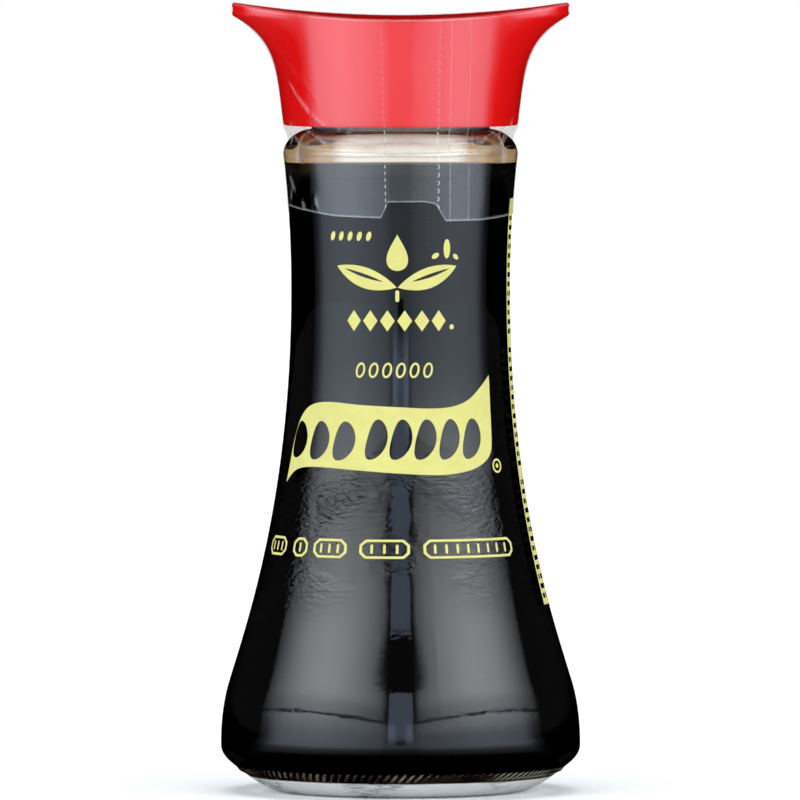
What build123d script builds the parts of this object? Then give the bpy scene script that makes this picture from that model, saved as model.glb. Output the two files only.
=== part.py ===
"""Waisted glass table bottle of soy sauce, with its two-spout cap and clear seal band."""
from build123d import *
import os
from math import cos, pi, sin, sqrt

# Glass bottle. Radii are of the outside, and heights are stacked from the table up.
foot_radius = 20.1          # middle of the ring that the bottle stands on
foot_width = 1.2
push_up = 2.4               # height of the hollow under the base
heel_flat = 4.6             # how far the heel's curve runs along the table
heel_rise = 3.2             # how far it runs down from the belly
heel_height = 9.4           # table to the widest circle
belly_radius = 31.5
belly_pull = 11.5           # how far the belly stays full before it draws in
belly_to_waist = 78.6
waist_pull = 47.0           # how far the waist stays slim below its narrowest circle
waist_radius = 19.15
waist_to_shoulder = 23.8
shoulder_radius = 20.5
shoulder_rise = 4.2
neck_radius = 15.6
neck_height = 9.2           # top of the shoulder to the lip
lip_round = 0.6
bead_rise = 4.0             # top of the shoulder to the middle of the snap bead
bead_height = 2.4
bead_reach = 0.6
glass_wall = 2.2
glass_base = 3.4            # thickness of the glass under the sauce

# Sauce
headspace = 2.0             # shoulder's widest circle down to the sauce
sauce_clearance = 0.03

# Cap. Its skirt is flush with the bottle's shoulder.
skirt_gap = 0.7             # top of the shoulder to the skirt's edge
skirt_to_beak = 19.2        # skirt's edge to the lower corner of a spout's tip
skirt_flare = 2.3           # growth of the round body over that height
beak_reach = 6.7            # how far a spout stands out past the round body
beak_power = 5              # how late the spouts leave the body
beak_slimness = 17          # how narrow a spout is, seen from above
tip_height = 2.2            # height of a spout's end face
saddle_dip = 2.6            # tips down to the middle of the hollow top
rim_round = 0.4
cap_roof = 2.2              # plastic above the pouring chamber
cap_clearance = 0.15        # between the cap's bore and the neck
seat_clearance = 0.05       # between the cap's seat and the bottle's lip
seat_inset = 0.5            # how far the seat reaches inside the lip
spout_hole_width = 2.6
spout_hole_height = 1.1
spout_hole_drop = 1.1       # top of the spout's tip down to the middle of its hole
channel_entry = 0.4         # how far a spout's channel runs into the pouring chamber
channel_roof = 1.6          # chamber's roof down to the middle of the channel's inner end

# Seal band
band_thickness = 0.12
band_clearance = 0.05
band_overlap = 11.8         # how far the band hangs below the shoulder's widest circle
band_beak_power = 3.6       # under the cap's, because the film bridges the hollows
band_beak_slimness = 11
band_lip = 2.2              # how far the band folds in over the cap's rim

outline_points = 52         # points around one section of the cap
spare = 3.0                 # how far a cutting shape runs past what it cuts
section_shares = (0, 0.2, 0.4, 0.55, 0.68, 0.79, 0.88, 0.95, 1)   # of the height to the spouts

# Heights and radii that follow from those above
belly_z = heel_height
waist_z = belly_z + belly_to_waist
shoulder_z = waist_z + waist_to_shoulder
shoulder_top_z = shoulder_z + shoulder_rise
lip_z = shoulder_top_z + neck_height
bead_z = shoulder_top_z + bead_rise
bore_radius = neck_radius - glass_wall
sauce_z = shoulder_z - headspace
skirt_radius = shoulder_radius
skirt_z = shoulder_top_z + skirt_gap
beak_z = skirt_z + skirt_to_beak
tip_z = beak_z + tip_height
tip_radius = skirt_radius + skirt_flare + beak_reach
saddle_z = tip_z - saddle_dip
saddle_radius = (tip_radius**2 + saddle_dip**2) / (2 * saddle_dip)
seat_z = lip_z + seat_clearance
roof_z = saddle_z - cap_roof
cap_bore_radius = neck_radius + cap_clearance
chamber_radius = bore_radius - seat_inset
spout_hole_z = tip_z - spout_hole_drop
channel_run = tip_radius - chamber_radius + channel_entry
channel_fall = spout_hole_z - (roof_z - channel_roof)
band_z = shoulder_z - band_overlap


def base_and_side(inset, lift):
    """Line from the base's centre to the shoulder: inset from the side, lift above the base."""
    ring = foot_radius + foot_width / 2
    belly = belly_radius - inset
    waist = waist_radius - inset
    shoulder = shoulder_radius - inset
    Bezier(
        (0, push_up + lift),
        (ring / 2, push_up + lift),
        (ring - foot_width, lift),
    )
    Line((ring - foot_width, lift), (ring, lift))
    Bezier(
        (ring, lift),
        (ring + heel_flat, lift),
        (belly, belly_z - heel_rise),
        (belly, belly_z),
    )
    Bezier(
        (belly, belly_z),
        (belly, belly_z + belly_pull),
        (waist, waist_z - waist_pull),
        (waist, waist_z),
    )
    Bezier((waist, waist_z), (waist, waist_z + waist_to_shoulder / 2), (shoulder, shoulder_z))


def shoulder_curve(radius, rise, neck):
    """Quarter of an oval from the widest circle of the shoulder in to the neck."""
    fullness = 0.5523       # the pull that makes a Bezier curve into a quarter oval
    Bezier(
        (radius, shoulder_z),
        (radius, shoulder_z + fullness * rise),
        (neck + (1 - fullness) * (radius - neck), shoulder_z + rise),
        (neck, shoulder_z + rise),
    )


def inside_of_glass(clearance):
    """Half outline of the bottle's inside, clearance smaller all round."""
    bore = bore_radius - clearance
    inset = glass_wall + clearance
    rise = shoulder_rise - glass_wall
    base_and_side(inset, glass_base + clearance)
    shoulder_curve(shoulder_radius - inset, rise, bore)
    Line((bore, shoulder_z + rise), (bore, lip_z))
    Line((bore, lip_z), (0, lip_z))
    Line((0, lip_z), (0, push_up + glass_base + clearance))


def cap_outline(z, offset, power, slimness):
    """Section of the cap at height z: a circle with two beaks that grow towards the top."""
    share = max(z - skirt_z, 0) / skirt_to_beak
    body = skirt_radius + skirt_flare * share + offset
    if z < shoulder_z:
        drop = (z - waist_z) / waist_to_shoulder
        body = waist_radius + (shoulder_radius - waist_radius) * drop**2 + offset
    points = []
    for step in range(outline_points):
        angle = 2 * pi * step / outline_points - pi / 2
        radius = body + beak_reach * share**power * abs(cos(angle)) ** slimness
        points.append((radius * cos(angle), radius * sin(angle)))
    Spline(*points, periodic=True)


def saddle_profile(offset):
    """Outline of the space above the cap's hollow top, offset higher than the plastic."""
    over = tip_radius + spare
    arc_z = saddle_z + offset
    end_z = arc_z + saddle_radius - sqrt(saddle_radius**2 - over**2)
    high_z = end_z + spare
    ThreePointArc((-over, end_z), (0, arc_z), (over, end_z))
    Polyline((over, end_z), (over, high_z), (-over, high_z), (-over, end_z))


def cap_form(offset, power, slimness, sleeve=()):
    """The cap's outer form, offset outwards: a lofted body with two spouts and a saddle top.

    A sleeve, given by its heights, carries the form down over the bottle's shoulder.
    """
    with BuildPart() as form:
        if sleeve:
            for height in (*sleeve, skirt_z):
                with BuildSketch(Plane.XY.offset(height)):
                    with BuildLine():
                        cap_outline(height, offset, power, slimness)
                    make_face()
            loft(ruled=True)
        for share in section_shares:
            height = skirt_z + share * skirt_to_beak
            with BuildSketch(Plane.XY.offset(height)):
                with BuildLine():
                    cap_outline(height, offset, power, slimness)
                make_face()
        loft()
        with BuildSketch(Plane.XY.offset(beak_z)):
            with BuildLine():
                cap_outline(beak_z, offset, power, slimness)
            make_face()
        extrude(amount=tip_height + spare)
        with BuildSketch(Plane.XZ):
            with BuildLine(Plane.XZ):
                saddle_profile(offset)
            make_face()
        extrude(amount=tip_radius + spare, both=True, mode=Mode.SUBTRACT)
    return form.part


sleeve_heights = (band_z, (band_z + shoulder_z) / 2, shoulder_z)

# The bottle: one piece of glass, with a hollow under its base and a snap bead on its neck
with BuildPart() as bottle:
    with BuildSketch(Plane.XZ):
        with BuildLine(Plane.XZ):
            base_and_side(0, 0)
            shoulder_curve(shoulder_radius, shoulder_rise, neck_radius)
            Line((neck_radius, shoulder_top_z), (neck_radius, bead_z - bead_height / 2))
            ThreePointArc(
                (neck_radius, bead_z - bead_height / 2),
                (neck_radius + bead_reach, bead_z),
                (neck_radius, bead_z + bead_height / 2),
            )
            Line((neck_radius, bead_z + bead_height / 2), (neck_radius, lip_z))
            Line((neck_radius, lip_z), (0, lip_z))
            Line((0, lip_z), (0, push_up))
        make_face()
    revolve(axis=Axis.Z)
    with BuildSketch(Plane.XZ):
        with BuildLine(Plane.XZ):
            inside_of_glass(0)
        make_face()
    revolve(axis=Axis.Z, mode=Mode.SUBTRACT)
    lip = bottle.edges().filter_by(GeomType.CIRCLE).group_by(Axis.Z)[-1]
    fillet(lip, radius=lip_round)

# The sauce: it fills the glass up to its level
with BuildPart() as soy_sauce:
    with BuildSketch(Plane.XZ):
        with BuildLine(Plane.XZ):
            inside_of_glass(sauce_clearance)
        make_face()
    revolve(axis=Axis.Z)
    split(bisect_by=Plane.XY.offset(sauce_z), keep=Keep.BOTTOM)

# Outer forms: of the cap, of the film over it, and of the space that the film encloses
cap_body = cap_form(0, beak_power, beak_slimness)
film_outside = cap_form(
    band_clearance + band_thickness,
    band_beak_power,
    band_beak_slimness,
    sleeve_heights,
)
film_inside = cap_form(
    band_clearance,
    band_beak_power,
    band_beak_slimness,
    (band_z - spare, *sleeve_heights),
)

# The cap: a round body with two spouts, over a bore that snaps on to the neck
with BuildPart() as cap:
    add(cap_body)
    rim = cap.faces().sort_by(Axis.Z)[-1].edges()
    fillet(rim, radius=rim_round)
    with BuildSketch(Plane.XZ):
        with BuildLine(Plane.XZ):
            groove = bead_height / 2 + cap_clearance
            Polyline(
                (0, skirt_z - spare),
                (cap_bore_radius, skirt_z - spare),
                (cap_bore_radius, bead_z - groove),
            )
            ThreePointArc(
                (cap_bore_radius, bead_z - groove),
                (cap_bore_radius + bead_reach, bead_z),
                (cap_bore_radius, bead_z + groove),
            )
            Polyline(
                (cap_bore_radius, bead_z + groove),
                (cap_bore_radius, seat_z),
                (chamber_radius, seat_z),
                (chamber_radius, roof_z),
                (0, roof_z),
                (0, skirt_z - spare),
            )
        make_face()
    revolve(axis=Axis.Z, mode=Mode.SUBTRACT)
    for side in (-1, 1):
        mouth = Plane(
            origin=(side * tip_radius, 0, spout_hole_z),
            x_dir=(0, 1, 0),
            z_dir=(-side * channel_run, 0, -channel_fall),
        )
        with BuildSketch(mouth):
            SlotOverall(spout_hole_width, spout_hole_height)
        channel_length = sqrt(channel_run**2 + channel_fall**2)
        extrude(amount=channel_length, both=True, mode=Mode.SUBTRACT)

# The mouth of the seal band: the part of the cap's top that the film leaves bare
with BuildPart() as band_mouth:
    with BuildSketch(Plane.XY.offset(roof_z)):
        with BuildLine():
            cap_outline(beak_z, -band_lip, band_beak_power, band_beak_slimness)
        make_face()
    extrude(amount=tip_z + spare - roof_z)
    with BuildSketch(Plane.XZ):
        with BuildLine(Plane.XZ):
            saddle_profile(band_clearance / 2)
        make_face()
    extrude(amount=tip_radius + spare, both=True, mode=Mode.INTERSECT)

# The seal band: thin film over the cap, the shoulder and the throat
with BuildPart() as seal_band:
    add(film_outside)
    add(film_inside, mode=Mode.SUBTRACT)
    add(band_mouth.part, mode=Mode.SUBTRACT)

os.makedirs("parts", exist_ok=True)
pieces = {
    "bottle": bottle,
    "soy_sauce": soy_sauce,
    "cap": cap,
    "seal_band": seal_band,
}
for name, piece in pieces.items():
    piece.part.label = name
    export_step(piece.part, f"parts/{name}.step")
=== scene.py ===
"""Looks of a waisted glass table bottle of soy sauce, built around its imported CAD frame.

The bottle stands on the table with its axis upright. Its printed front faces -Y, and the cap's
two spouts point to -X and +X. Lengths are in millimetres until a mesh is made.
"""
from math import atan, cos, degrees, pi, radians, sin, tau

import bmesh
import bpy
import numpy as np
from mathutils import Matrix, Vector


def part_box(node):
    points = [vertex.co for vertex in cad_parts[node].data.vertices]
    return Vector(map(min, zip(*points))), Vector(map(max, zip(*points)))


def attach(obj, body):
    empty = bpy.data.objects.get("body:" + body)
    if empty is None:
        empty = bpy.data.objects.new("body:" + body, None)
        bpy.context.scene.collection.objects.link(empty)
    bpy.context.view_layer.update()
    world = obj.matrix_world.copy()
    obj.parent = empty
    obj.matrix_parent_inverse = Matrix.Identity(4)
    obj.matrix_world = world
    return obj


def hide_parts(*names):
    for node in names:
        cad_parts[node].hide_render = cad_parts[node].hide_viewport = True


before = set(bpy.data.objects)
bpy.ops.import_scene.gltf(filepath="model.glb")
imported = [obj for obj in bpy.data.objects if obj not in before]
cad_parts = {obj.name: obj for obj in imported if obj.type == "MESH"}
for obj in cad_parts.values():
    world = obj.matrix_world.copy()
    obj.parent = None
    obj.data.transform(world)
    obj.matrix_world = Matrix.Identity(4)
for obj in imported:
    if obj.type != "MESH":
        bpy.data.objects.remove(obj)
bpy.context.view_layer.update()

scene = bpy.context.scene
MM = 0.001


def box_mm(node):
    """Lowest and highest corner of a CAD node, in millimetres."""
    return [np.array(corner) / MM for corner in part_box(node)]


# ---------------- sizes, from the CAD's boxes
glass_low, glass_high = box_mm("bottle")
_, sauce_high = box_mm("soy_sauce")
cap_low, cap_high = box_mm("cap")

belly_radius = (glass_high[0] - glass_low[0]) / 2
lip_z = glass_high[2]
sauce_z = sauce_high[2]
skirt_z = cap_low[2]
tip_z = cap_high[2]

# Glass, from the foot up; most sizes are the CAD part's own. The side bends at the belly into a
# straight cone that leans in by cone_lean degrees, and curves up into the waist.
foot_radius, foot_width, push_up = 20.1, 1.2, 2.4
heel_flat, heel_rise, heel_height = 4.6, 3.2, 8.3
knurl_radius, knurl_foot_z = 27.2, 3.1
knurl_z, knurl_width, knurl_height = 3.75, 0.75, 0.24
belly_bend, cone_z, cone_in, cone_pull, cone_lean = 14.6, 19.52, 1.54, 11.85, 17.1
waist_pull, waist_radius, waist_z = 35.44, 19.15, 88.0
shoulder_radius, shoulder_z, shoulder_rise = 20.5, 111.8, 4.2
shoulder_top_z = shoulder_z + shoulder_rise
neck_radius, bead_z, bead_height, bead_reach, lip_round = 15.6, 120.0, 2.4, 0.6, 0.6
wall, base = 2.2, 3.4
bore_radius = neck_radius - wall
# The blown glass thickens inside the shoulder, from this height up to the neck
thick_from_z = 102.0
# The glass has four points round it for each tooth of the knurl and eight for each stud. A
# parting line stands on point PARTING, and the other one opposite.
TEETH, STUDS = 126, 63
AROUND, PARTING = 4 * TEETH, 18
# The foot's glass is stippled and carries painted light up to the knurl, and the shoulder's has
# painted amber between two heights
painted_light_foot_top = 4.6
painted_amber_low, painted_amber_high = 109.0, 115.6

# Cap: its side flares into two beaks, and its top is a saddle hollowed along X
skirt_radius, tip_radius = shoulder_radius, 29.5
skirt_to_beak, skirt_flare, beak_reach = 19.2, 2.3, 6.7
beak_power, beak_slimness = 5.0, 17.0
saddle_dip, cap_roof, rim_round, skirt_round = 2.6, 2.2, 0.45, 0.3
saddle_z = tip_z - saddle_dip
saddle_radius = (tip_radius**2 + saddle_dip**2) / (2 * saddle_dip)
seat_z, roof_z = lip_z + 0.05, saddle_z - cap_roof
cap_bore, chamber_radius = neck_radius + 0.15, bore_radius - 0.5

# Film: it stands off the cap and glass, and spans the beaks a little more loosely
film_power, film_slimness, film_off = 4.5, 14.5, 0.06
print_proud = 0.035         # how far the print stands out of the glass


def placed(name, data):
    """New object with a mesh or a camera, put in the scene."""
    made = bpy.data.objects.new(name, data)
    scene.collection.objects.link(made)
    return made


# ---------------- lines and skins
def bezier(points, count):
    """Points along a Bezier curve, without its first one."""
    share = np.linspace(0, 1, count + 1)[1:, None]
    layers = [np.repeat(np.array([p], float), count, 0) for p in points]
    while len(layers) > 1:
        layers = [a + (b - a) * share for a, b in zip(layers, layers[1:])]
    return layers[0]


def base_and_side(inset, lift, counts):
    """Half outline from the base's centre up to the shoulder's widest circle."""
    n_base, n_ring, n_heel, n_side, n_throat = counts
    belly, waist, shoulder = (r - inset for r in (belly_radius, waist_radius, shoulder_radius))
    ring, cone, lean = foot_radius + foot_width / 2, belly - cone_in, radians(cone_lean)
    centre, ring_in, ring_out = (0, push_up + lift), (ring - foot_width, lift), (ring, lift)
    heel_top, cone_foot, throat = (belly, heel_height), (cone, cone_z), (waist, waist_z)
    if inset:
        heel = bezier([ring_out, (ring + heel_flat, lift), (belly, heel_height - heel_rise),
                       heel_top], n_heel)
    else:
        knurl, n_below_knurl = (knurl_radius, knurl_foot_z), 10
        heel = np.vstack([
            bezier([ring_out, (22.8, 0.3), (25.0, 1.35), knurl], n_below_knurl),
            bezier([knurl, (30.3, 5.4), (belly, 6.3), heel_top], n_heel - n_below_knurl)])
    return np.vstack([
        [centre],
        bezier([centre, (ring / 2, push_up + lift), ring_in], n_base),
        bezier([ring_in, ring_out], n_ring),
        heel,
        bezier([heel_top, (belly, belly_bend), cone_foot], n_side // 4),
        bezier([cone_foot, (cone - cone_pull * sin(lean), cone_z + cone_pull * cos(lean)),
                (waist, waist_z - waist_pull), throat], n_side - n_side // 4),
        bezier([throat, (waist, (waist_z + shoulder_z) / 2), (shoulder, shoulder_z)], n_throat),
    ])


def shoulder_curve(radius, rise, neck, count):
    """Quarter of an oval from the shoulder's widest circle in to the neck."""
    full = 0.5523
    return bezier([(radius, shoulder_z), (radius, shoulder_z + full * rise),
                   (neck + (1 - full) * (radius - neck), shoulder_z + rise),
                   (neck, shoulder_z + rise)], count)


def arc(centre, radius, start, end, count):
    """Points on a circle between two angles in degrees, both included."""
    turn = np.radians(np.linspace(start, end, count))
    return np.column_stack([centre[0] + radius * np.cos(turn), centre[1] + radius * np.sin(turn)])


outer_line = np.vstack([
    base_and_side(0, 0, (6, 4, 40, 38, 9)),
    shoulder_curve(shoulder_radius, shoulder_rise, neck_radius, 12),
    [(neck_radius, bead_z - bead_height / 2)],
    [(neck_radius + bead_reach * cos(a), bead_z + bead_height / 2 * sin(a))
     for a in np.radians(np.linspace(-75, 75, 7))],
    [(neck_radius, bead_z + bead_height / 2)],
    arc((neck_radius - lip_round, lip_z - lip_round), lip_round, 0, 90, 5),
])
side_of_glass = outer_line[outer_line[:, 1] >= heel_height - 0.01]
side_of_glass = side_of_glass[side_of_glass[:, 1] <= shoulder_top_z]


def glass_radius(z):
    """Outer radius of the glass at a height on its side."""
    return np.interp(z, side_of_glass[:, 1], side_of_glass[:, 0])


def inside_line(reach, counts):
    """Half outline of the glass's inside, up to the bore, moved into the glass by reach."""
    line = base_and_side(wall - reach, base - reach, counts)
    line = line[line[:, 1] < thick_from_z - 1]
    start = (glass_radius(thick_from_z) - wall, thick_from_z)
    widest, arch, bore_foot = (17.9, 111.6), (14.0, 114.95), (bore_radius, 117.0)
    blown = np.vstack([
        [start],
        bezier([start, (17.75, 107.0), (widest[0], 109.5), widest], 6),
        bezier([widest, (widest[0], 113.5), (15.9, 114.9), arch], 12),
        bezier([arch, (13.5, 115.0), (bore_radius, 115.4), bore_foot], 4),
    ])
    return np.vstack([line, blown + [reach, 0]])


inner_line = np.vstack([
    inside_line(0, (5, 1, 12, 20, 8)),
    arc((bore_radius + lip_round, lip_z - lip_round), lip_round, 180, 90, 5),
])


def skin(name, rows, first_point=False, last_point=False, part=None):
    """Mesh over closed rings of points; the first or last ring may shrink to one point.

    part says which material slot each band between two rings takes.
    """
    rows = np.asarray(rows, float) * MM
    count, around = rows.shape[:2]
    points, starts = [], []
    for index, row in enumerate(rows):
        starts.append(sum(len(p) for p in points))
        single = (index == 0 and first_point) or (index == count - 1 and last_point)
        points.append(row[:1] * [0, 0, 1] if single else row)
    faces, slots = [], []
    for index in range(count - 1):
        a, b = starts[index], starts[index + 1]
        for k in range(around):
            n = (k + 1) % around
            if index == 0 and first_point:
                faces.append((a, b + n, b + k))
            elif index == count - 2 and last_point:
                faces.append((a + k, a + n, b))
            else:
                faces.append((a + k, a + n, b + n, b + k))
        slots += [part[index] if part else 0] * around
    mesh = bpy.data.meshes.new(name)
    mesh.from_pydata(np.vstack(points).tolist(), [], faces)
    mesh.polygons.foreach_set("use_smooth", [True] * len(faces))
    mesh.polygons.foreach_set("material_index", slots)
    mesh.update()
    return placed(name, mesh)


def turned(line, around, shape=None):
    """Rings of a lathe-turned outline; shape may move the points of a ring."""
    angle = np.arange(around) / around * tau
    r = np.repeat(line[:, :1], around, 1)
    z = np.repeat(line[:, 1:], around, 1)
    if shape:
        r, z = shape(r, z, angle[None, :])
    return np.stack([r * np.sin(angle), -r * np.cos(angle), z], -1)


# ---------------- shader maths
GLASS_IOR, SAUCE_IOR = 1.52, 1.38


class Value:
    """A socket's value, so that sums on it read as sums and add their own Math nodes."""

    def __init__(self, finish, socket):
        self.finish, self.socket = finish, socket

    def math(self, operation, *others, clamp=False):
        return self.finish.math(operation, self, *others, clamp=clamp)

    def out(self, name):
        """Another output of the same node."""
        return Value(self.finish, self.socket.node.outputs[name])

    def __add__(self, other):
        return self.math("ADD", other)

    def __sub__(self, other):
        return self.math("SUBTRACT", other)

    def __rsub__(self, other):
        return self.finish.math("SUBTRACT", other, self)

    def __mul__(self, other):
        return self.math("MULTIPLY", other)

    def __truediv__(self, other):
        return self.math("DIVIDE", other)

    def __rtruediv__(self, other):
        return self.finish.math("DIVIDE", other, self)

    def __gt__(self, other):
        return self.math("GREATER_THAN", other)

    def __abs__(self):
        return self.math("ABSOLUTE")

    __radd__, __rmul__ = __add__, __mul__

    def clamped(self):
        return self.math("ADD", 0.0, clamp=True)

    def near(self, centre, width):
        """1 at centre, falling straight to 0 at width away from it."""
        return (1 - abs(self - centre) / width).clamped()

    def rise(self, start, end):
        """0 up to start and 1 from end on, with a smooth step between them."""
        return self.finish.node("ShaderNodeMapRange", {"interpolation_type": "SMOOTHSTEP"},
                                {0: self, 1: start, 2: end})


class Finish:
    """The nodes of one material, or of the world."""

    def __init__(self, owner):
        owner.use_nodes = True
        self.owner, self.tree = owner, owner.node_tree
        self.tree.nodes.clear()

    def node(self, kind, settings=None, sockets=None, out=0):
        made = self.tree.nodes.new(kind)
        for key, value in (settings or {}).items():
            if key == "stops":
                stops = made.color_ramp.elements
                stops.remove(stops[-1])
                for index, (place, shade) in enumerate(value):
                    stop = stops.new(place) if index else stops[0]
                    stop.position, stop.color = place, (*shade, 1)
            else:
                setattr(made, key, value)
        for key, value in (sockets or {}).items():
            if isinstance(value, Value):
                self.tree.links.new(value.socket, made.inputs[key])
            else:
                made.inputs[key].default_value = value
        return Value(self, made.outputs[out] if len(made.outputs) else None)

    def math(self, operation, *values, clamp=False):
        return self.node("ShaderNodeMath", {"operation": operation, "use_clamp": clamp},
                         dict(enumerate(values)))

    def mix(self, share, first, second):
        """Colour between two colours."""
        return self.node("ShaderNodeMix", {"data_type": "RGBA"},
                         {0: share, 6: colour(first), 7: colour(second)}, out=2)

    def ramp(self, place, stops):
        """Grey value that runs straight from stop to stop, each a place and a value."""
        return self.node("ShaderNodeValToRGB", {"stops": [(a, (v,) * 3) for a, v in stops]},
                         {0: place})

    def noise(self, place, scale, detail=2.0, roughness=0.5, stretch=None):
        """Noise with a scale in lumps per millimetre."""
        if stretch:
            place = self.node("ShaderNodeVectorMath", {"operation": "MULTIPLY"},
                              {0: place, 1: stretch})
        return self.node("ShaderNodeTexNoise", {},
                         {"Vector": place, "Scale": scale / MM, "Detail": detail,
                          "Roughness": roughness})

    def place(self):
        """Where a point is, in metres, and its height, angle and distance from the axis in mm."""
        spot = self.node("ShaderNodeTexCoord", {}, {}).out("Object")
        xyz = self.node("ShaderNodeSeparateXYZ", {}, {"Vector": spot})
        x, y, z = (xyz.out(a) / MM for a in "XYZ")
        return spot, z, self.math("ARCTAN2", x, 0 - y), self.math("SQRT", x * x + y * y)

    def bump(self, height, distance):
        """Normal of a surface raised by height times a distance in millimetres."""
        return self.node("ShaderNodeBump", {}, {"Distance": distance * MM, "Height": height})

    def plastic(self, sockets):
        return self.node("ShaderNodeBsdfPrincipled", {}, sockets)

    def behind_glass(self, shade, ior, share):
        """Matt surface behind glass, where light that comes in at a low angle is thrown back."""
        matt = self.plastic({"Base Color": shade, "Roughness": 0.5, "Specular IOR Level": 0.0})
        mirror = self.plastic({"Base Color": (1, 1, 1, 1), "Roughness": 0.0, "Metallic": 1.0})
        thrown_back = self.node("ShaderNodeFresnel", {}, {"IOR": ior / GLASS_IOR}) * share
        return self.surface(self.node("ShaderNodeMixShader", {},
                                      {0: thrown_back, 1: matt, 2: mirror}))

    def surface(self, shader):
        self.node("ShaderNodeOutputMaterial", {}, {"Surface": shader})
        return self.owner


def colour(value):
    """A four-number colour where one is given as three."""
    return (*value, 1) if isinstance(value, tuple) and len(value) == 3 else value


def material(name):
    return Finish(bpy.data.materials.new(name))


# ---------------- finishes
def make_clear_glass(name, tint, stained=False, painted_amber_from=None):
    """Pressed glass, with the mould's ragged hammering low on the body."""
    f = material(name)
    spot, z, _, _ = f.place()
    low_body = z.rise(62, 36) * z.rise(7, 14)
    ripple = f.noise(spot, 0.16, 1.5, 0.45)
    flow = f.noise(spot, 0.05, 1.0, 0.4, stretch=(1, 1, 0.25))
    patches = f.noise(spot, 0.075, 2.0).rise(0.42, 0.56)
    hammered = f.noise(spot, 0.78, 1.5, 0.5, stretch=(1, 1, 2.2))
    height = ripple * (0.05 + low_body * 0.3) + flow * 0.6
    height = height + hammered * (z.rise(30, 40) * z.rise(64, 54) * (patches * 2.3 + 0.3)
                                  + z.rise(72, 60) * z.rise(10, 12) * 0.16)
    cloud = f.noise(spot, 0.08, 3.0)
    shade = f.mix(cloud.rise(0.35, 0.7), tint, tuple(c * 0.985 for c in tint))
    if stained:
        # Dried sauce leaves fine brown tide lines
        tide = z + f.noise(spot, 0.12, 2.0) * 0.7
        lines = tide.near(sauce_z + 0.85, 0.34) + tide.near(sauce_z + 2.2, 0.26) * 0.8
        rosy = f.mix(f.noise(spot, 0.07, 2.0).rise(0.44, 0.60), (0.88, 0.78, 0.76),
                     (0.62, 0.47, 0.44))
        shade = f.mix(z.rise(112.5, 113.3), shade, rosy)
        shade = f.mix(lines.clamped() * 0.85, shade, (0.50, 0.27, 0.10))
        shade = f.mix(z.rise(115.2, 115.8), shade, (0.92, 0.66, 0.47))
    if painted_amber_from:
        # Painted amber where the wall is seen edge on, standing in for sauce seen through the glass
        graze = f.node("ShaderNodeLayerWeight", {}, {"Blend": 0.5}).out("Facing")
        shade = f.mix(graze.rise(*painted_amber_from), shade, (0.36, 0.16, 0.04))
    return f.surface(f.plastic({"Base Color": shade, "Roughness": 0.0, "IOR": GLASS_IOR,
                                "Transmission Weight": 1.0, "Normal": f.bump(height, 0.05)}))


def make_foot_glass_painted_light():
    """The foot's clear glass mixed with a pale stippled finish, whose pale shade, streaks and grey
    patches are painted light for light passing through the thick base.
    """
    f = material("foot_glass_with_painted_light")
    spot, z, angle, _ = f.place()
    streak = f.noise(spot, 0.35, 3.0, 0.6, stretch=(1, 1, 8)).rise(0.36, 0.60)
    patch = f.noise(spot, 0.045, 1.0, stretch=(1, 1, 0)).rise(0.40, 0.50)
    fine = f.noise(spot, 2.5, 2.0)
    clear = f.plastic({"Base Color": (0.97, 1, 0.97, 1), "Roughness": 0.02, "IOR": GLASS_IOR,
                       "Transmission Weight": 1.0, "Normal": f.bump(fine, 0.02)})
    # The rope knurl's slanting teeth, with painted brown to cream glints standing in for light
    # through the sauce behind them
    tooth = (angle * TEETH - z * 3.6).math("COSINE").rise(-0.1, 0.7)
    on_rope = z.rise(3.12, 3.3) * z.rise(4.7, 4.0)
    glint = f.noise(spot, 0.06, 2.0, stretch=(1, 1, 0))
    # Painted light: a pale streaked shade, in place of light coming through the base
    shade = f.mix(streak, (0.93, 0.94, 0.89), (1.0, 1.0, 0.99))
    painted_rope_glints = f.mix(glint.rise(0.42, 0.62), (0.22, 0.085, 0.055), (0.62, 0.60, 0.42))
    shade = f.mix(on_rope, shade, painted_rope_glints)
    pale = f.plastic({"Base Color": shade, "Roughness": 0.35, "Normal": f.bump(fine, 0.05)})
    share = (0.52 + streak * 0.4 + patch * 0.5) * z.rise(3.0, 2.6)
    share = share + tooth * on_rope * (0.12 + glint.rise(0.38, 0.6) * 0.5)
    return f.surface(f.node("ShaderNodeMixShader", {}, {0: share.clamped(), 1: clear, 2: pale}))


def make_sauce_side():
    """Soy sauce seen through the glass: almost black, with painted brown light low down where the
    heel lights it, and painted amber light just below the level.
    """
    f = material("sauce_body")
    spot, z, _, _ = f.place()
    cloud = f.noise(spot, 0.03, 2.0)
    brown = f.mix(cloud.rise(0.3, 0.75), (0.0006, 0.0004, 0.0003), (0.0014, 0.0009, 0.0007))
    # Painted brown light low down, where the heel lights the sauce
    glow = z.rise(5.2, 4.2) * f.noise(spot, 0.07, 1.0).rise(0.35, 0.6)
    shade = f.mix(glow, brown, (0.16, 0.075, 0.03))
    # Painted amber light just below the sauce's level
    painted_level_light = z.rise(sauce_z - 2.4, sauce_z - 0.1) * f.noise(spot, 0.06, 2.0).rise(0.40, 0.62)
    shade = f.mix(painted_level_light * 0.8, shade, (0.085, 0.050, 0.022))
    return f.behind_glass(shade, SAUCE_IOR, 1.0)


def make_underside_painted_light():
    """Underside of the sauce, painted white with streaks and grey patches: painted light for the
    glow of the thick clear base.
    """
    f = material("sauce_underside_painted_light")
    spot, _, _, _ = f.place()
    streak = f.noise(spot, 0.25, 3.0, 0.6, stretch=(1, 1, 9))
    patch = f.noise(spot, 0.05, 1.0, stretch=(1, 1, 0))
    shade = f.mix(streak.rise(0.40, 0.62), (0.90, 0.91, 0.86), (1.0, 1.0, 0.98))
    shade = f.mix(patch.rise(0.46, 0.40) * 0.7, shade, (0.20, 0.21, 0.19))
    return f.behind_glass(shade, 1.33, 0.3)


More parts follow.
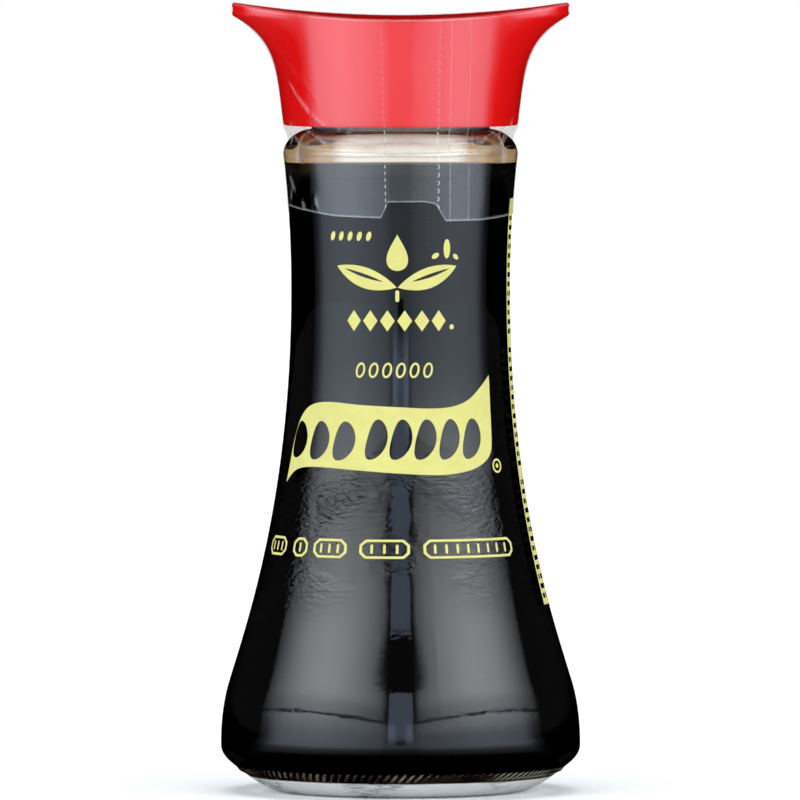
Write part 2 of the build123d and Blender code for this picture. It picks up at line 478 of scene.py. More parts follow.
def make_sauce_top():
    """Still, glossy top of the sauce, lighter where it thins out up the glass."""
    f = material("sauce_surface")
    spot, _, _, out = f.place()
    edge = out.rise(16.2, 18.2)
    shade = f.mix(edge, (0.010, 0.004, 0.002), (0.10, 0.035, 0.010))
    still = f.bump(f.noise(spot, 0.2, 2.0), 0.006)
    return f.surface(f.plastic({"Base Color": shade, "Roughness": 0.03, "IOR": SAUCE_IOR,
                                "Normal": still}))


def make_red_plastic():
    """Moulded red plastic with a soft gloss, faint flow marks and fine dust-like specks."""
    f = material("cap_red_plastic")
    spot, _, _, _ = f.place()
    flow = f.noise(spot, 0.06, 3.0, stretch=(1, 1, 0.35))
    grain = f.noise(spot, 3.0, 2.0)
    shade = f.mix(flow.rise(0.3, 0.7), (0.93, 0.0044, 0.0044), (0.88, 0.0038, 0.0038))
    rough = 0.10 + flow * 0.08
    skin_bump = f.bump(grain * 0.35 + flow, 0.010)
    return f.surface(f.plastic({"Base Color": shade, "Roughness": rough, "IOR": 1.49,
                                "Normal": skin_bump}))


def make_print_ink():
    """Pale yellow enamel print: slightly uneven, with pinholes of darker tone."""
    f = material("print_ink")
    spot, _, _, _ = f.place()
    cloud = f.noise(spot, 0.35, 3.0)
    grain = f.noise(spot, 5.0, 1.0)
    shade = f.mix(cloud.rise(0.3, 0.7), (0.765, 0.72, 0.23), (0.72, 0.675, 0.215))
    shade = f.mix(grain.rise(0.66, 0.74) * 0.35, shade, (0.42, 0.40, 0.14))
    return f.surface(f.plastic({"Base Color": shade, "Roughness": 0.45 + cloud * 0.2,
                                "Specular IOR Level": 0.2,
                                "Normal": f.bump(grain + cloud, 0.012)}))


def make_film():
    """Clear shrink film: two glossy faces, tear lines, seams, haze and a painted highlight along
    the cut edge, the folds and the rim.
    """
    f = material("shrink_film")
    spot, z, angle, out = f.place()
    # The two tear lines lean a little: dashes on the left, half moons on the right
    above_edge = z - 104.1
    dash_pitch, moon_pitch, moon_radius = 1.18, 1.4, 0.34
    left = (angle + 0.132 + above_edge * 0.00055) * out
    dash = abs(left).rise(0.10, 0.025) * (z / dash_pitch).math("FRACT").rise(0.52, 0.42)
    right = (angle - 0.327 + above_edge * 0.0009) * out
    cell = ((z / moon_pitch).math("FRACT") - 0.5) * moon_pitch
    ring = abs(f.math("SQRT", right * right + cell * cell) - moon_radius)
    moon = ring.rise(0.10, 0.025) * right.rise(-0.1, 0.1)
    on_front = abs(angle).rise(1.2, 1.0)
    on_cap = z.rise(skirt_z - 0.5, skirt_z + 0.5)
    marks = (dash + moon).clamped() * on_front * (1 - on_cap * 0.75)

    # Two seam lines down the right of the front, with a faint haze between them
    first = (angle - 0.4475 + above_edge * 0.0014) * out
    second = (angle - 0.640 + above_edge * 0.0022) * out
    seam = abs(first).rise(0.10, 0.03) * 0.26 + abs(second).rise(0.09, 0.03) * 0.20
    seam = seam + first.rise(-0.05, 0.05) * second.rise(0.05, -0.05) * 0.015
    seam = seam * (1 - on_cap * 0.5)
    # Painted highlight along the cut edge, the folds and the rim
    line = f.node("ShaderNodeAttribute", {"attribute_name": "painted_highlight_lines"}, {}).out("Fac")
    haze = f.noise(spot, 0.12, 3.0, stretch=(1, 1, 0.4)).rise(0.45, 0.85) * 0.012

    fresnel = f.node("ShaderNodeFresnel", {}, {"IOR": 1.5})
    gloss = f.math("MINIMUM", 2 * fresnel / (1 + fresnel), 0.17)
    scatter = (marks * 0.62 + seam + haze + line * 0.25).clamped()
    share = (gloss + scatter).clamped()
    wave = f.noise(spot, 0.10, 2.0, stretch=(1, 1, 0.35))
    fine = f.noise(spot, 0.9, 2.0)
    face = f.plastic({"Base Color": (0.93, 0.95, 0.97, 1), "Roughness": 0.03,
                      "Metallic": 1 - (scatter / (share + 0.001)).clamped(), "IOR": 1.5,
                      "Normal": f.bump(wave + fine * 0.02, 0.05)})
    clear = f.node("ShaderNodeBsdfTransparent", {}, {"Color": (0.985, 0.985, 0.985, 1)})
    return f.surface(f.node("ShaderNodeMixShader", {}, {0: share, 1: clear, 2: face}))


flint = (0.995, 1.0, 0.995)
clear_glass = make_clear_glass("clear_glass", flint)
stains_and_painted_tint_glass = make_clear_glass("stains_and_painted_tint_glass", (1.0, 0.96, 0.84), stained=True,
                                 painted_amber_from=(0.14, 0.28))
shoulder_glass = make_clear_glass("shoulder_glass", flint, painted_amber_from=(0.32, 0.62))
foot_glass_painted_light = make_foot_glass_painted_light()
sauce_body, sauce_surface = make_sauce_side(), make_sauce_top()
sauce_underside_painted_light = make_underside_painted_light()
red_plastic, print_ink, shrink_film = make_red_plastic(), make_print_ink(), make_film()


def dress(piece, slot, *finishes, replaces=None):
    """Gives a piece its finishes and its place on the frame; slot is not used."""
    for finish in finishes:
        piece.data.materials.append(finish)
    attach(piece, "root")
    if replaces:
        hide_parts(replaces)
    return piece


# ---------------- the bottle's glass
CLEAR, STAINS_AND_PAINTED_TINT, FOOT_PAINTED_LIGHT, PAINTED_AMBER = range(4)     # its material slots


def pressed_details(r, z, angle):
    """Rope knurl round the heel, studs under the foot and the mould's two parting lines."""
    on_heel = (r > foot_radius) & (z < heel_height)
    away = np.where(on_heel, (z - knurl_z) * 1.25, 9.0)
    ridge = np.where(abs(away) < knurl_width, np.cos(away / knurl_width * pi / 2) ** 2, 0)
    rope = 0.45 + 0.55 * np.cos(TEETH * angle + away * 3.2)
    bulge = knurl_height * ridge * rope
    foot = (abs(r - foot_radius) < foot_width * 0.75) & (z < 0.5)
    stud = np.where(foot, 0.32 * (0.5 - 0.5 * np.cos(STUDS * angle)) ** 3, 0)
    parting = np.abs(np.cos(angle - PARTING / AROUND * tau)) > 0.99999
    seam = parting * 0.022 * (z > 6) * (z < 110)
    return r + bulge * 0.8 + seam, z - bulge * 0.5 + stud


outside = turned(outer_line, AROUND, pressed_details)
inside = turned(inner_line[::-1], AROUND)
finish_of_band = [FOOT_PAINTED_LIGHT if foot_radius < r and z < painted_light_foot_top
                  else PAINTED_AMBER if painted_amber_low < z < painted_amber_high else CLEAR for r, z in outer_line[:-1]]
finish_of_band += [CLEAR] + [STAINS_AND_PAINTED_TINT if z > sauce_z - 0.5 else CLEAR
                             for z in inner_line[::-1][:-1, 1]]
bottle_glass = skin("bottle_glass", np.concatenate([outside, inside]), True, True,
                    finish_of_band)
dress(bottle_glass, "glass", clear_glass, stains_and_painted_tint_glass, foot_glass_painted_light, shoulder_glass,
      replaces="bottle")

# ---------------- the sauce
BODY, TOP, UNDERSIDE = range(3)                # its material slots
painted_light_radius = 23.4      # inside this, the sauce's underside gets painted light from the clear base
sauce_reach = 0.08          # how far the sauce runs into the glass, so that no gap shows
meniscus_width, meniscus_rise = 3.0, 0.55
sauce_counts = (8, 1, 14, 40, 14)
below_side = sum(sauce_counts[:3])

sauce_line = inside_line(sauce_reach, sauce_counts)
edge = np.interp(sauce_z, sauce_line[below_side:, 1], sauce_line[below_side:, 0])
sauce_line = sauce_line[sauce_line[:, 1] < sauce_z]
meniscus = [(edge - meniscus_width * s, sauce_z + meniscus_rise * (1 - s) ** 3)
            for s in np.linspace(0, 1, 10)]
rings = np.array([(r, sauce_z) for r in np.linspace(edge - meniscus_width, 0, 6)[1:]])
sauce_line = np.vstack([sauce_line, [(edge, sauce_z)], meniscus, rings])
first_top_band = len(sauce_line) - len(meniscus) - len(rings)


def finish_of_sauce(band):
    """Slot for one band: the underside with painted light inside the foot, then the side, then the
    top.
    """
    if band >= first_top_band:
        return TOP
    lit = band < below_side and sauce_line[band + 1, 0] < painted_light_radius
    return UNDERSIDE if lit else BODY


sauce = skin("sauce", turned(sauce_line, 256), True, True,
             [finish_of_sauce(band) for band in range(len(sauce_line) - 1)])
dress(sauce, "sauce", sauce_body, sauce_surface, sauce_underside_painted_light, replaces="soy_sauce")


# ---------------- the cap
def cap_angles(count, crowd):
    """Angles round the cap, crowded towards the two spouts. 0 is +X."""
    even = np.arange(count) / count * tau
    return even - crowd / 2 * np.sin(2 * even)


def cap_radius(angle, z, offset, power, slimness):
    """Radius of the cap's form at an angle and a height."""
    share = np.clip((z - skirt_z) / skirt_to_beak, 0, 1)
    body = skirt_radius + skirt_flare * share + offset
    return body + beak_reach * share**power * np.abs(np.cos(angle)) ** slimness


def saddle(x):
    """Height of the cap's hollow top, x from the middle."""
    return saddle_z + saddle_radius - np.sqrt(saddle_radius**2 - x**2)


def top_height(angle, offset, power, slimness):
    """Height at which the cap's side meets its hollow top."""
    z = np.full_like(angle, saddle_z)
    for _ in range(6):
        z = saddle(cap_radius(angle, z, offset, power, slimness) * np.cos(angle))
    return z


def ring_at(radius, angle, z):
    return np.stack([radius * np.cos(angle), radius * np.sin(angle), z + 0 * angle], -1)


def make_cap():
    """The cap's outside and its hollow underside, joined at the skirt."""
    angle = cap_angles(420, 0.72)
    shape = (0.0, beak_power, beak_slimness)
    top = top_height(angle, *shape)
    rows = []
    # Skirt's rounded lower edge, then the side up to the rim
    for turn in np.radians(np.linspace(0, 90, 5)):
        rows.append(ring_at(skirt_radius - skirt_round + skirt_round * np.sin(turn), angle,
                            skirt_z + skirt_round - skirt_round * np.cos(turn)))
    side_foot = skirt_z + skirt_round
    for share in np.linspace(0, 1, 46)[1:]:
        z = side_foot + (top - rim_round - side_foot) * share
        rows.append(ring_at(cap_radius(angle, z, *shape), angle, z))
    full = cap_radius(angle, top, *shape)
    for turn in np.radians(np.linspace(0, 90, 7))[1:]:
        inset = rim_round * (1 - np.cos(turn))
        rows.append(ring_at(full - inset, angle, top - rim_round + rim_round * np.sin(turn)))
    # Hollow top, ring by ring to the middle
    edge_radius = full - rim_round
    for share in (0.985, 0.95, 0.9, 0.82, 0.72, 0.6, 0.46, 0.3, 0.15, 0):
        radius = edge_radius * share
        rows.append(ring_at(radius, angle, saddle(radius * np.cos(angle))))
    outside = skin("spout_cap", rows, False, True)

    # Underside: bore with its snap groove, seat on the glass lip, and pouring chamber
    groove = bead_height / 2 + 0.15
    line = [(skirt_radius - skirt_round, skirt_z), (cap_bore + skirt_round, skirt_z),
            (cap_bore, skirt_z + skirt_round), (cap_bore, bead_z - groove)]
    line += [(cap_bore + bead_reach * cos(a), bead_z + groove * sin(a))
             for a in np.radians(np.linspace(-80, 80, 7))]
    line += [(cap_bore, bead_z + groove), (cap_bore, seat_z), (chamber_radius, seat_z),
             (chamber_radius, roof_z - 0.4), (chamber_radius - 0.4, roof_z), (0, roof_z)]
    rings = [ring_at(r, angle, z) for r, z in line]
    underside = skin("cap_inside", rings, False, True)
    bpy.ops.object.select_all(action="DESELECT")
    for piece in (underside, outside):
        piece.select_set(True)
    bpy.context.view_layer.objects.active = outside
    bpy.ops.object.join()
    form = bmesh.new()
    form.from_mesh(outside.data)
    bmesh.ops.remove_doubles(form, verts=form.verts, dist=0.01 * MM)
    bmesh.ops.recalc_face_normals(form, faces=form.faces)
    form.to_mesh(outside.data)
    form.free()
    return outside


def cut_spout_holes(cap):
    """A slot-shaped channel from each spout's end face down into the pouring chamber."""
    hole_z, half_flat, half_round, count = tip_z - 1.1, 0.75, 0.55, 24
    run, fall = tip_radius - chamber_radius + 0.4, hole_z - (roof_z - 1.6)
    slot = []
    for a in np.arange(count) / count * tau:
        flat = half_flat * np.sign(cos(a)) * (abs(cos(a)) > 1e-6)
        slot.append([0, flat + half_round * cos(a), half_round * sin(a)])
    for side in (-1, 1):
        rod = bmesh.new()
        ends = []
        for share in (-0.2, 1.0):
            middle = np.array([side * (tip_radius - run * share), 0, hole_z - fall * share])
            ends.append([rod.verts.new((middle + point) * MM) for point in slot])
        for k in range(count):
            n = (k + 1) % count
            rod.faces.new((ends[0][k], ends[0][n], ends[1][n], ends[1][k]))
        rod.faces.new(ends[0][::-1])
        rod.faces.new(ends[1])
        bmesh.ops.recalc_face_normals(rod, faces=rod.faces)
        mesh = bpy.data.meshes.new("spout_channel")
        rod.to_mesh(mesh)
        rod.free()
        cutter = placed("spout_channel", mesh)
        cut = cap.modifiers.new("channel", "BOOLEAN")
        cut.operation, cut.solver, cut.object = "DIFFERENCE", "EXACT", cutter
        bpy.context.view_layer.objects.active = cap
        bpy.ops.object.modifier_apply(modifier=cut.name)
        bpy.data.objects.remove(cutter)
    cap.data.set_sharp_from_angle(angle=radians(35))


cap_piece = make_cap()
cut_spout_holes(cap_piece)
dress(cap_piece, "cap_plastic", red_plastic, replaces="cap")


# ---------------- the film
def front_angle(angle):
    """Angle from the front, to the right, of a cap angle that counts from +X."""
    return (angle + pi / 2 + pi) % tau - pi


# Lower edge of the film: angle from the front and height, with the notch between tear lines
film_edge = np.array([
    (-3.1416, 101.6), (-1.9, 102.2), (-1.387, 102.75), (-0.94, 101.95), (-0.626, 101.22),
    (-0.172, 100.98), (-0.111, 103.77), (0.219, 103.76), (0.311, 103.39), (0.411, 100.41),
    (0.79, 100.45), (1.37, 101.19), (2.2, 101.7), (3.1416, 101.6),
])
# Folds in the film: angle and height of both ends, width, how far it stands out
folds = (
    (-1.14, 124.8, -0.85, 118.6, 0.24, 0.22), (-0.88, 119.2, -0.66, 116.6, 0.22, 0.18),
    (-1.22, 130.0, -0.84, 123.0, 0.16, 0.07), (-1.00, 127.5, -0.72, 120.0, 0.14, 0.05),
    (1.06, 130.2, 1.16, 128.6, 0.20, 0.12), (-1.35, 116.8, -1.02, 112.8, 0.25, 0.22),
    (-1.00, 116.9, -0.70, 113.4, 0.22, 0.18), (-0.62, 116.6, -0.30, 114.9, 0.20, 0.12),
    (1.32, 116.8, 1.05, 112.6, 0.25, 0.20), (0.98, 116.8, 0.78, 113.6, 0.22, 0.16),
    (-1.30, 108.5, -1.15, 105.0, 0.45, 0.20), (-1.22, 106.5, -1.32, 103.0, 0.35, 0.16),
    (-1.05, 104.4, -1.00, 101.4, 0.45, 0.18), (-0.86, 105.2, -0.80, 101.6, 0.50, 0.16),
    (1.25, 118.5, 1.05, 112.5, 0.40, 0.16), (0.95, 117.5, 1.10, 113.5, 0.30, 0.14),
    (-1.15, 118.0, -1.35, 112.0, 0.40, 0.16), (0.66, 116.5, 0.72, 112.0, 0.30, 0.10),
    (2.0, 117.5, 2.3, 110.0, 0.5, 0.16), (-2.1, 118.0, -2.4, 108.0, 0.5, 0.18),
    (2.7, 112.0, 2.75, 102.0, 0.5, 0.12), (-2.8, 131.0, -2.5, 119.0, 0.4, 0.15),
)
fold_end = 1.5              # a fold fades in and out over this length
film_sag = 0.85             # how far the film sinks in between the skirt and the shoulder
LIP_ROWS = 7                # rings of the film that lie on the cap's top and round its rim


def film_radius(angle, z):
    """Radius of the film: over the cap's form, then sunk in to the shoulder, then the throat."""
    throat = waist_radius + (shoulder_radius - waist_radius) * (
        (np.minimum(z, shoulder_z) - waist_z) / (shoulder_z - waist_z)) ** 2 + film_off
    below_cap = np.clip((z - shoulder_z - 0.3) / (skirt_z - shoulder_z - 0.6), 0, 1)
    over = cap_radius(angle, z, film_off, film_power, film_slimness)
    over = over - film_sag * np.sin(pi * below_cap)
    return np.where(z < shoulder_z, throat, over)


def fold_height(front, z):
    """How far the folds stand out of the film."""
    out = np.zeros(np.broadcast(front, z).shape)
    for a0, z0, a1, z1, width, height in folds:
        run = np.array([(a1 - a0) * skirt_radius, z1 - z0])
        length = np.hypot(*run)
        right, up = (front - a0) * skirt_radius, z - z0
        along = (right * run[0] + up * run[1]) / length
        across = (right * run[1] - up * run[0]) / length
        fade = np.clip(along / fold_end, 0, 1) * np.clip((length - along) / fold_end, 0, 1)
        out = out + height * fade * np.exp(-(across / width) ** 2)
    return out


def film_waves(front, z):
    """How far folds and slack push the film out."""
    slack = 0.03 * (np.sin(3 * front + 0.22 * z) + np.sin(7 * front - 0.35 * z + 1.3)
                    + np.sin(13 * front + 0.5 * z + 0.4)) / 3 + 0.03
    return slack + fold_height(front, z)


def make_film_piece():
    """The film, from its cut lower edge up over the cap's rim."""
    angle = cap_angles(640, 0.6)
    front = front_angle(angle)
    top = top_height(angle, film_off, film_power, film_slimness)
    full = cap_radius(angle, top, film_off, film_power, film_slimness)
    rows = []
    lip = 2.2 + 0.25 * np.sin(9 * front) + 0.2 * np.sin(23 * front + 1.0)
    for share in (1.0, 0.75, 0.5, 0.25, 0.08):
        radius = full - lip * share - 0.35 * (1 - share)
        ripple = 0.05 + 0.06 * np.sin(31 * front + 2 * np.sin(5 * front)) * share
        rows.append(ring_at(radius, angle, saddle(radius * np.cos(angle)) + 0.06 + ripple))
    for turn in np.radians((60, 30)):
        inset = 0.45 * (1 - cos(turn))
        rows.append(ring_at(full - inset, angle, top - 0.40 + 0.5 * sin(turn)))
    upper = top - 0.45
    for share in np.linspace(0, 1, 40):
        z = upper + (skirt_z - upper) * share
        rows.append(ring_at(film_radius(angle, z) + film_waves(front, z), angle, z))
    edge = np.interp(front, film_edge[:, 0], film_edge[:, 1])
    for share in np.linspace(0, 1, 34)[1:]:
        z = skirt_z + (edge - skirt_z) * share
        curl = 0.05 * np.clip((share - 0.96) / 0.04, 0, 1)
        rows.append(ring_at(film_radius(angle, z) + film_waves(front, z) + curl, angle, z))
    film = skin("seal_film", rows[::-1])
    places = np.empty(len(film.data.vertices) * 3)
    film.data.vertices.foreach_get("co", places)
    x, y, z = places.reshape(-1, 3).T / MM
    around = np.arctan2(x, -y)
    from_edge = z - np.interp(around, film_edge[:, 0], film_edge[:, 1])
    # Painted highlight along the cut edge, on the folds' ridges and round the rim
    crease_highlights = np.clip(fold_height(around, z) / 0.12, 0, 1) ** 3
    line = np.exp(-(from_edge / 0.08) ** 2) + 0.6 * crease_highlights
    lip_points = LIP_ROWS * len(angle)
    lip_front = around[-lip_points:]
    line[-lip_points:] += 0.30 + 0.07 * np.sin(17 * lip_front + 3 * np.sin(5 * lip_front))
    film.data.attributes.new("painted_highlight_lines", "FLOAT", "POINT").data.foreach_set(
        "value", np.clip(line, 0, 1))
    return film


dress(make_film_piece(), "film", shrink_film, replaces="seal_band")

# ---------------- the print
LABEL_RADIUS = 20.0         # a label's width is measured round a circle of this radius


def oval(middle, length, width, lean=0.0, bend=0.0, count=28):
    """Outline of an oval that stands upright, leans to the right by degrees and may bend."""
    turn = np.arange(count) / count * tau
    up, across = length / 2 * np.cos(turn), width / 2 * np.sin(turn)
    across = across + bend * (up / (length / 2)) ** 2
    lean = radians(lean)
    return [(middle[0] + a * cos(lean) + u * sin(lean), middle[1] + u * cos(lean) - a * sin(lean))
            for a, u in zip(across, up)]


def leaf(start, end, bulge, count=14):
    """Pointed outline between two points."""
    start, end = np.array(start, float), np.array(end, float)
    run = end - start
    side = np.array([-run[1], run[0]]) / np.hypot(*run)
    share = np.linspace(0, 1, count)
    swell = np.sin(share * pi) ** 0.85 * bulge
    there = [start + run * s + side * w for s, w in zip(share, swell)]
    back = [start + run * s - side * w * 0.8 for s, w in zip(share, swell)]
    return [tuple(p) for p in there + back[-2:0:-1]]


def bar(left, bottom, right, top):
    """Upright rectangle with clipped corners."""
    c = min(right - left, top - bottom) * 0.28
    return [(left + c, bottom), (right - c, bottom), (right, bottom + c), (right, top - c),
            (right - c, top), (left + c, top), (left, top - c), (left, bottom + c)]


def diamond(x, z, half_width, half_height):
    """Outline of a diamond about a middle."""
    return [(x - half_width, z), (x, z - half_height), (x + half_width, z), (x, z + half_height)]


def drop(middle, height, width, count=30):
    """Outline of a falling drop."""
    turn = np.arange(count) / count * tau
    return [(middle[0] + width / 2 * sin(t) * sin(t / 2) ** 1.4 * 1.25,
             middle[1] - height / 2 * cos(t + pi)) for t in turn]


def filled(outlines):
    """Flat sheet inside outlines, with holes where they nest."""
    flat = bpy.data.curves.new("outlines", "CURVE")
    flat.dimensions, flat.fill_mode = "2D", "BOTH"
    for outline in outlines:
        spline = flat.splines.new("POLY")
        spline.points.add(len(outline) - 1)
        for point, (x, z) in zip(spline.points, outline):
            point.co = (x, z, 0, 1)
        spline.use_cyclic_u = True
    holder = bpy.data.objects.new("outlines", flat)
    sheet = bmesh.new()
    sheet.from_mesh(bpy.data.meshes.new_from_object(holder))
    bpy.data.objects.remove(holder)
    return sheet


def tiled(tiles):
    """Flat sheet made of tiles, each given by its left, bottom, right and top."""
    sheet = bmesh.new()
    for left, bottom, right, top in tiles:
        sheet.faces.new([sheet.verts.new((x, z, 0)) for x, z in (
            (left, bottom), (right, bottom), (right, top), (left, top))])
    return sheet


def printed(name, sheet):
    """A flat sheet of print, cut fine and bent round the glass."""
    flat_places = np.array([vertex.co for vertex in sheet.verts])
    low, high = flat_places.min(0), flat_places.max(0)
    for axis, step in ((0, 0.6), (1, 1.2)):     # across and up
        for cut in np.arange(low[axis] + step, high[axis], step):
            place, normal = [0, 0, 0], [0, 0, 0]
            place[axis], normal[axis] = cut, 1
            bmesh.ops.bisect_plane(sheet, geom=sheet.verts[:] + sheet.edges[:] + sheet.faces[:],
                                   dist=1e-5, plane_co=place, plane_no=normal)
    for vertex in sheet.verts:
        turn, z = vertex.co.x / LABEL_RADIUS, vertex.co.y
        r = float(glass_radius(z)) + print_proud
        vertex.co = (r * sin(turn) * MM, -r * cos(turn) * MM, z * MM)
    for face in sheet.faces:
        face.smooth = True
        middle = face.calc_center_median()
        if face.normal.x * middle.x + face.normal.y * middle.y < 0:
            face.normal_flip()
    mesh = bpy.data.meshes.new(name)
    sheet.to_mesh(mesh)
    sheet.free()
    return dress(placed(name, mesh), "print", print_ink)


def smooth_loop(points, count):
    """Closed curve through points (Catmull-Rom), with corners kept where a point is doubled."""
    points = np.array(points, float)
    total, loop = len(points), []
    for k in range(total):
        p0, p1, p2, p3 = (points[(k + j) % total] for j in (-1, 0, 1, 2))
        if np.allclose(p1, p2):
            continue
        for t in np.arange(count) / count:
            loop.append(tuple(0.5 * (2 * p1 + (p2 - p0) * t + (2 * p0 - 5 * p1 + 4 * p2 - p3) * t**2
                                     + (3 * p1 - p0 - 3 * p2 + p3) * t**3)))
    return loop


# Banner across the front, with a row of slanting beans left open in it
banner_outline = smooth_loop([
    (-23.57, 54.56), (-23.57, 54.56), (-23.2, 57.0), (-22.35, 61.93), (-20.6, 66.0),
    (-17.8, 68.19), (-13.5, 68.85), (-7.28, 68.45), (-0.09, 68.10), (5.23, 67.85),
    (9.2, 68.1), (12.4, 69.1), (15.0, 70.9), (17.96, 73.4), (17.96, 73.4), (18.0, 70.79),
    (17.6, 62.12), (16.6, 59.3), (14.0, 57.6), (10.66, 56.7), (6.5, 56.3), (-0.08, 56.6),
    (-8.63, 57.2), (-14.64, 57.5), (-18.6, 57.3), (-21.2, 56.5),
], 6)
banner_beans = [oval((x, z), tall, wide, 14, -0.55) for x, z, tall, wide in (
    (-20.2, 62.0, 6.6, 3.9), (-15.0, 62.0, 6.9, 4.0), (-9.9, 62.0, 7.0, 4.0),
    (-4.0, 62.35, 7.2, 3.5), (0.2, 62.35, 7.2, 3.5), (4.4, 62.35, 7.2, 3.5),
    (8.7, 62.35, 7.2, 3.5), (13.1, 62.35, 7.2, 3.6))]
printed("print_banner", filled([banner_outline, *banner_beans]))

# Two split leaves under a drop, five seeds to the left and three to the right
sprout = [
    leaf((-0.7, 88.9), (-12.2, 92.6), 2.0), leaf((-3.2, 89.9), (-10.6, 92.2), 0.34),
    leaf((-0.5, 88.9), (10.6, 92.6), -2.0), leaf((2.0, 89.9), (9.2, 92.2), -0.34),
    drop((-0.6, 95.0), 6.4, 4.4),
    bar(-0.95, 86.4, -0.25, 88.4),
]
sprout += [oval((x, 97.8), 1.7, 0.9, 20) for x in (-13.0, -11.2, -9.4, -7.6, -5.8)]
sprout += [oval((8.6, 95.6), 3.4, 1.3, 0), oval((6.4, 94.4), 1.5, 0.9, 60),
           oval((10.4, 94.2), 1.3, 0.8, -50)]
printed("print_sprout", filled(sprout))

# A row of diamonds with a dot after it, and a row of slanting rings
rows = [diamond(-8.7 + k * 3.15, 83.1, 1.35, 1.85) for k in range(6)]
rows.append(oval((9.6, 82.0), 0.9, 0.9))
for k in range(6):
    middle = (-7.3 + k * 2.45, 74.5)
    rows += [oval(middle, 2.75, 1.75, 14), oval(middle, 2.0, 1.0, 14)]
printed("print_rows", filled(rows))

printed("print_ring", filled([oval((18.4, 57.6), tall, wide) for tall, wide in (
    (2.5, 2.35), (1.8, 1.65), (0.8, 0.7))]))

# A line of clipped boxes with short bars in them
rule = []
for left, right, bars in ((-25.4, -20.1, 3), (-18.3, -15.2, 1), (-14.0, -8.2, 3),
                          (-6.2, 1.4, 3), (3.4, 19.4, 8)):
    rule += [bar(left, 41.9, right, 45.2), bar(left + 0.42, 42.32, right - 0.42, 44.78)]
    for k in range(bars):
        x = left + (right - left) * (k + 1) / (bars + 1)
        rule.append(bar(x - 0.2, 42.75, x + 0.2, 44.35))
printed("print_rule", filled(rule))

# Back panel: a filled field with knocked-out rows of bars, then a second block of bars
panel_left, panel_right, panel_foot, panel_top = 26.2, 62.0, 33.0, 104.0
row_pitch, row_height, bar_lengths = 1.65, 0.85, (1.5, 2.9, 0.8, 2.1, 3.6)
panel, foot_of_strip = [], panel_foot
for row in range(42):
    z = panel_foot + 1.1 + row * row_pitch
    if row % 14 == 13:
        continue
    panel.append((panel_left, foot_of_strip, panel_right, z))
    foot_of_strip = z + row_height
    start, x, k = panel_left, panel_left + 0.55, row
    while x < panel_right - 1.2:
        end = min(x + bar_lengths[k % 5], panel_right - 0.6)
        panel.append((start, z, x, foot_of_strip))
        start, x, k = end, end + 0.5, k + 2
    panel.append((start, z, panel_right, foot_of_strip))
panel.append((panel_left, foot_of_strip, panel_right, panel_top))
printed("print_back_panel", tiled(panel))
printed("print_back_rules", tiled([(-55.0, 40 + k * 3.2, -33.0 - (k % 4) * 3.0, 41.1 + k * 3.2)
                                   for k in range(18)]))


# ---------------- table, light and camera
def side_light(f, azimuth):
    """Share of the soft boxes at an angle from the front: dark ahead, full at the sides."""
    shares = ((0, 0), (8, 0), (10, 0.05), (13, 0.26), (20, 0.45), (25, 0.53), (30, 0.66),
              (40, 0.81), (50, 0.99), (57, 1.0), (65, 0.95), (75, 0.79), (80, 0.65), (85, 0.50),
              (90, 0.35), (95, 0.22), (100, 0.11), (104, 0))
    full = 120              # degrees over which the ramp runs
    return f.ramp(azimuth * (degrees(1) / full), [(a / full, v) for a, v in shares])


def low_fill(azimuth):
    """Weak even light from low down, all round the front except straight ahead."""
    turn = azimuth * degrees(1)
    return turn.rise(1.5, 5) * turn.rise(98, 84) * 0.65


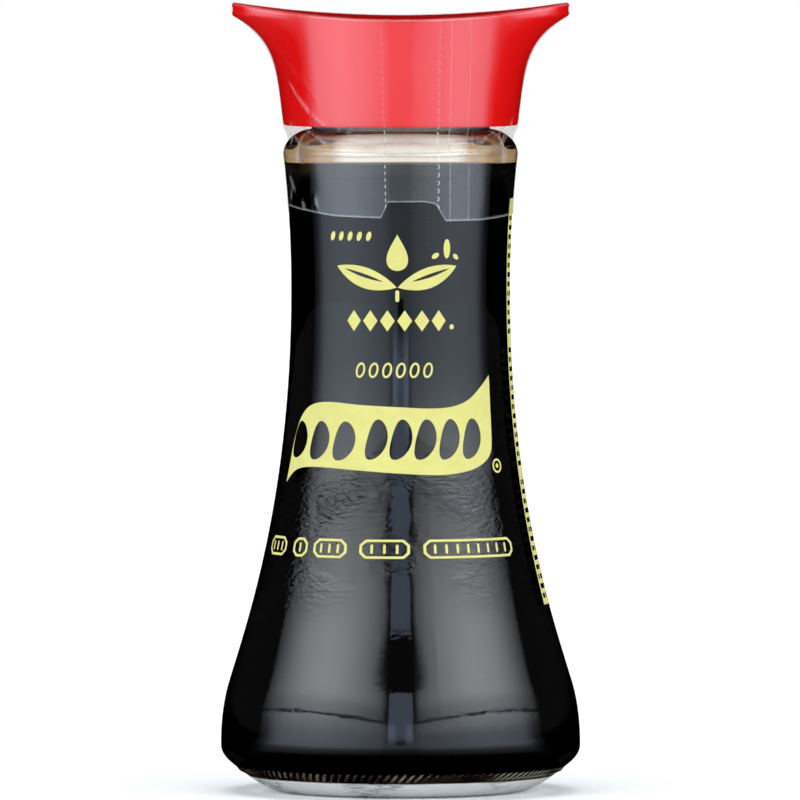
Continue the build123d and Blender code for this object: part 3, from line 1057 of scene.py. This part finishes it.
def make_world():
    """A studio with soft boxes to the left and right, and a white background."""
    world = bpy.data.worlds.new("studio")
    scene.world = world
    f = Finish(world)
    way = f.node("ShaderNodeTexCoord", {}, {}).out("Generated")
    xyz = f.node("ShaderNodeSeparateXYZ", {}, {"Vector": way})
    x, y, z = (xyz.out(a) for a in "XYZ")
    azimuth = abs(f.math("ARCTAN2", x, 0 - y))
    up = z.math("ARCSINE") * degrees(1)

    # Each box is a flat sheet square to 50 degrees from the front; a dark gap crosses it
    depth = f.math("MAXIMUM", abs(x) * sin(radians(50)) - y * cos(radians(50)), 0.05)
    level = z / depth
    heights = ((-0.4, 0.02), (-0.25, 0.08), (-0.10, 0.12), (-0.04, 0.16), (0.0, 0.16),
               (0.04, 0.17), (0.08, 0.20), (0.155, 0.30), (0.20, 0.42), (0.222, 0.50),
               (0.227, 0.04), (0.246, 0.04), (0.252, 0.38), (0.400, 0.50), (0.430, 0.60),
               (0.55, 0.66), (0.66, 0.60), (0.74, 0.10), (1.6, 0.05))
    height = f.ramp((level + 0.4) / 2, [((v + 0.4) / 2, b) for v, b in heights])
    right_low = (x > 0) * level.rise(0.16, 0.04)
    boxes = side_light(f, azimuth) * height * 8 * (1 - right_low * 0.3)
    turn = azimuth * degrees(1)
    centre = turn.rise(8.6, 7.6) * up.rise(-1, 4) * up.rise(28.7, 28.0)
    overhead = z.rise(0.80, 0.97) * 2.4
    lit = boxes + low_fill(azimuth) * up.rise(12, 7) + centre * 1.1
    path = f.node("ShaderNodeLightPath", {}, {})
    white = (path.out("Is Camera Ray") + path.out("Is Transmission Ray")).clamped()
    # Matt surfaces get about half of the boxes' light, and an even light from all round
    matt = 1 - path.out("Is Glossy Ray")
    strength = lit * (1 - matt * 0.45) + overhead * (0.4 + matt * 0.6) + matt * 0.38
    strength = strength * (1 - white) + white
    cool = f.mix(up.rise(16, -4), (0.95, 1.0, 1.05), (0.86, 1.0, 1.18))
    cool = f.mix(centre, cool, (0.82, 0.97, 1.38))
    shade = f.mix(white, cool, (1.0, 1.0, 1.0))
    light = f.node("ShaderNodeBackground", {}, {"Color": shade, "Strength": strength})
    f.node("ShaderNodeOutputWorld", {}, {"Surface": light})


def make_table():
    """Pale table whose colour meets the white background, and that keeps the shadow."""
    f = material("pale_table")
    spot, _, angle, out = f.place()
    cloud = f.noise(spot, 0.004, 2.0)
    shade = f.mix(cloud.rise(0.3, 0.7), (0.90, 0.90, 0.90), (0.885, 0.885, 0.885))
    matt = f.node("ShaderNodeBsdfDiffuse", {}, {"Color": shade})
    path = f.node("ShaderNodeLightPath", {}, {})
    seen = (path.out("Is Camera Ray") + path.out("Is Transmission Ray")).clamped()
    glow = f.node("ShaderNodeEmission", {}, {"Color": (1, 1, 1, 1), "Strength": seen * 0.14})
    plain = f.node("ShaderNodeAddShader", {}, {0: matt, 1: glow})
    # For glossy rays the table glows with a painted sheen of the soft boxes' light, dimmer right
    # ahead and fading out near the bottle
    fill = (abs(angle) * degrees(1)).rise(98, 84) * 0.66
    sides = side_light(f, abs(angle)) * (1.05 - (angle > 0) * 0.25)
    painted_table_sheen = (sides + fill) * out.rise(36, 520)
    sheen = f.node("ShaderNodeEmission", {}, {"Color": (0.88, 0.98, 1.12, 1),
                                              "Strength": painted_table_sheen})
    return f.surface(f.node("ShaderNodeMixShader", {},
                            {0: path.out("Is Glossy Ray"), 1: plain, 2: sheen}))


def make_stage():
    """The table's top, which isn't part of the bottle, from its four corners in metres."""
    mesh = bpy.data.meshes.new("table")
    corners = [(x * 3.2, y * 3.2, 0) for x, y in ((-1, -1), (1, -1), (1, 1), (-1, 1))]
    mesh.from_pydata(corners, [], [(0, 1, 2, 3)])
    mesh.materials.append(make_table())
    placed("table", mesh)


def make_camera():
    """Long lens, eye level a little above the cap, looking slightly down."""
    lens = bpy.data.cameras.new("camera")
    lens.lens, lens.sensor_width = 707.0, 36.0
    lens.clip_start, lens.clip_end = 0.1, 20
    camera = placed("camera", lens)
    eye, aim = (-0.0001, -2.75, 0.1885), (-0.0001, 0.0, 0.0685)
    camera.location = eye
    camera.rotation_euler = (pi / 2 - atan((eye[2] - aim[2]) / -eye[1]), 0, 0)
    scene.camera = camera


make_world()
make_stage()
make_camera()
scene.view_settings.view_transform = "Standard"
